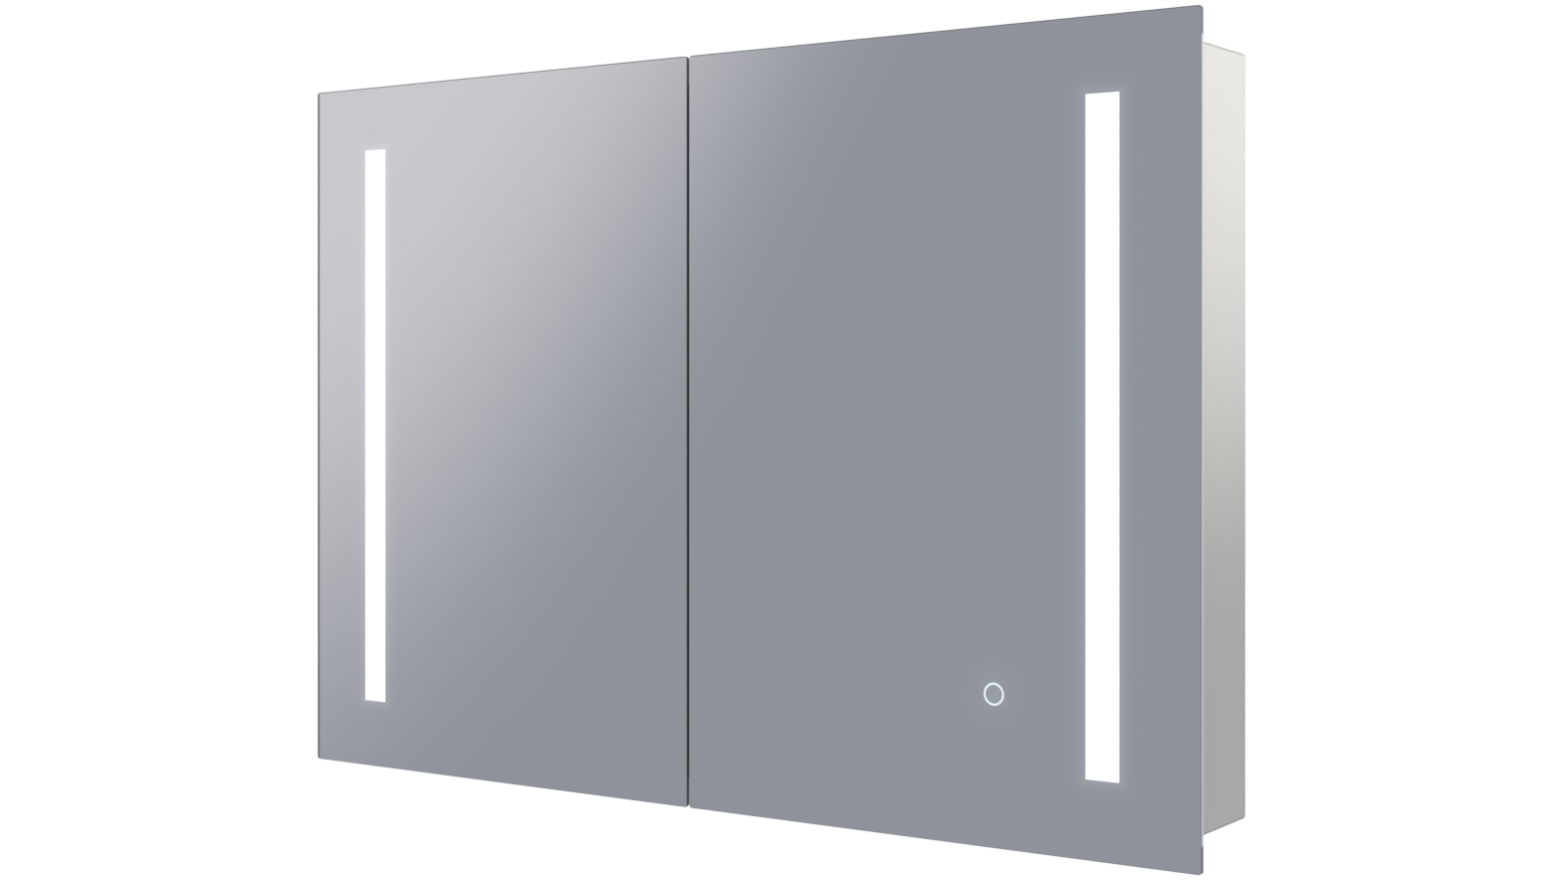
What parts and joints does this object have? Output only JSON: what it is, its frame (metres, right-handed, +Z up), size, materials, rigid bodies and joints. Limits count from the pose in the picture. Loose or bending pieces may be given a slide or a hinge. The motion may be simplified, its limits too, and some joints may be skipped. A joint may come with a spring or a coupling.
{
  "type": "wall mirror cabinet",
  "caption": "Wall-hung bathroom cabinet with overhanging mirror doors, lit strips near the outer edges, a touch light ring and glass shelves.",
  "frame": {"origin": "middle of the back face, on the wall plane", "axes": "+X to the right seen from the front, +Y into the wall, +Z up; the mirrors face -Y"},
  "size_m": [1, 0.135, 0.7],
  "materials": {
    "case_paint": "satin warm white paint on board",
    "back_board": "matt white foil on thin board",
    "door_frame": "satin white foil on moisture-resistant core",
    "mirror_glass": "silvered float glass, polished arris",
    "inner_mirror_glass": "silvered float glass",
    "shelf_glass": "clear float glass, polished edges",
    "anodised_aluminium": "satin anodised",
    "hinge_steel": "nickel-plated steel",
    "white_plastic": "moulded, fine texture",
    "dark_plastic": "moulded, matt",
    "circuit_board": "white solder mask with small lamps",
    "lit_diffuser": "opal acrylic, lit from behind",
    "clear_rubber": "soft translucent",
    "heating_film": "thin printed film"
  },
  "bodies": {
    "cabinet": {"case_left_side": "case_paint", "case_right_side": "case_paint", "case_top": "case_paint", "case_bottom": "case_paint", "back_panel": "back_board", "divider": "case_paint", "shelf_left_lower": "shelf_glass", "shelf_left_upper": "shelf_glass", "shelf_right_lower": "shelf_glass", "shelf_right_upper": "shelf_glass", "shelf_strip_left_west": "anodised_aluminium", "shelf_strip_left_east": "anodised_aluminium", "shelf_strip_right_west": "anodised_aluminium", "shelf_strip_right_east": "anodised_aluminium", "hanger_left": "white_plastic", "hanger_right": "white_plastic", "led_driver": "white_plastic", "driver_cover": "case_paint", "cable_gland": "dark_plastic", "lead_left_case": "dark_plastic", "lead_right_case": "dark_plastic", "hinge_left_upper_wing": "hinge_steel", "hinge_left_upper_pin": "hinge_steel", "hinge_left_lower_wing": "hinge_steel", "hinge_left_lower_pin": "hinge_steel", "hinge_right_upper_wing": "hinge_steel", "hinge_right_upper_pin": "hinge_steel", "hinge_right_lower_wing": "hinge_steel", "hinge_right_lower_pin": "hinge_steel"},
    "left_door": {"mirror_left": "mirror_glass", "stile_hinge_left": "door_frame", "stile_free_left": "door_frame", "rail_top_left": "door_frame", "rail_bottom_left": "door_frame", "inner_mirror_left": "inner_mirror_glass", "led_channel_left": "anodised_aluminium", "led_board_left": "circuit_board", "diffuser_left": "lit_diffuser", "lead_left_door": "dark_plastic", "bumper_left_top": "clear_rubber", "bumper_left_bottom": "clear_rubber", "hinge_left_upper_leaf": "hinge_steel", "hinge_left_lower_leaf": "hinge_steel"},
    "right_door": {"mirror_right": "mirror_glass", "stile_hinge_right": "door_frame", "stile_free_right": "door_frame", "rail_top_right": "door_frame", "rail_bottom_right": "door_frame", "inner_mirror_right": "inner_mirror_glass", "led_channel_right": "anodised_aluminium", "led_board_right": "circuit_board", "diffuser_right": "lit_diffuser", "lead_right_door": "dark_plastic", "bumper_right_top": "clear_rubber", "bumper_right_bottom": "clear_rubber", "hinge_right_upper_leaf": "hinge_steel", "hinge_right_lower_leaf": "hinge_steel", "touch_sensor": "dark_plastic", "touch_ring": "lit_diffuser", "demister_pad": "heating_film"}
  },
  "joints": [
    {"name": "left_door_hinge", "type": "hinge", "parent": "cabinet", "child": "left_door", "pos_m": [-0.476, -0.114, 0], "axis": [0, 0, -1], "range_deg": [0, 105]},
    {"name": "right_door_hinge", "type": "hinge", "parent": "cabinet", "child": "right_door", "pos_m": [0.476, -0.114, 0], "axis": [0, 0, 1], "range_deg": [0, 105]}
  ]
}
